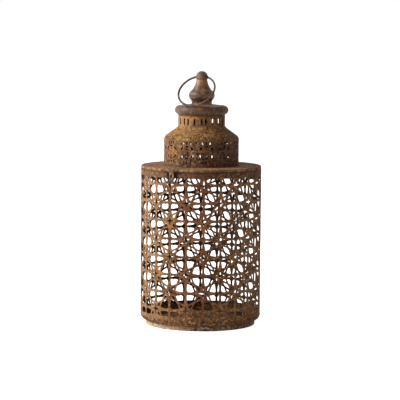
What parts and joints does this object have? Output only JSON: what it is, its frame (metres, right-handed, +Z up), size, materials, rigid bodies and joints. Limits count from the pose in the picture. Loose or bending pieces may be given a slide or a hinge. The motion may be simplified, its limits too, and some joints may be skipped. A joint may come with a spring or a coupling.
{
  "type": "punched tin lantern",
  "caption": "Round candle lantern of rusted sheet iron, its wall pierced with a star lattice, with a hinged lid, clasp, vented chimney, turned knob and carrying ring.",
  "frame": {"origin": "centre of the foot, on the surface that the lantern stands on", "axes": "+Z up along the lantern's axis; -Y is the front, as in the picture, with the clasp to the left of it; the hinge is behind"},
  "size_m": [0.1684, 0.1684, 0.3546],
  "materials": {
    "rusted_sheet": "thin sheet, rusted all over and sealed, matt",
    "rusted_wire": "rusted wire, a little worn to a shine",
    "rusted_knob": "turned knob, rusted, with a slight sheen",
    "rusted_fittings": "rusted hinge, clasp, rivets and pins"
  },
  "bodies": {
    "body": {"foot_ring": "rusted_sheet", "base_pan": "rusted_sheet", "lattice_shell": "rusted_sheet", "mouth_ring": "rusted_sheet", "body_hinge_leaf": "rusted_fittings", "body_hinge_rivets": "rusted_fittings", "hinge_pin": "rusted_fittings", "clasp_stud": "rusted_fittings"},
    "lid": {"lid_plate": "rusted_sheet", "chimney_drum": "rusted_sheet", "shoulder": "rusted_sheet", "vent_neck": "rusted_sheet", "cap": "rusted_sheet", "finial": "rusted_knob", "finial_stud": "rusted_fittings", "finial_washer": "rusted_fittings", "finial_nut": "rusted_fittings", "lid_hinge_leaf": "rusted_fittings", "lid_hinge_rivets": "rusted_fittings", "clasp_bracket": "rusted_fittings", "clasp_pin": "rusted_fittings"},
    "ring": {"carry_ring": "rusted_wire"},
    "clasp": {"clasp_strap": "rusted_fittings"}
  },
  "joints": [
    {"name": "lid_hinge", "type": "hinge", "parent": "body", "child": "lid", "pos_m": [0.04218, 0.07609, 0.21925], "axis": [-0.8746, 0.4848, 0], "range_deg": [0, 110]},
    {"name": "ring_swing", "type": "hinge", "parent": "lid", "child": "ring", "pos_m": [0, 0, 0.34684], "axis": [-0.9041, 0.4274, 0], "range_deg": [0, 276]},
    {"name": "clasp_swing", "type": "hinge", "parent": "lid", "child": "clasp", "pos_m": [-0.04101, -0.07712, 0.2214], "axis": [-0.8829, 0.4695, 0], "range_deg": [0, 150]}
  ]
}
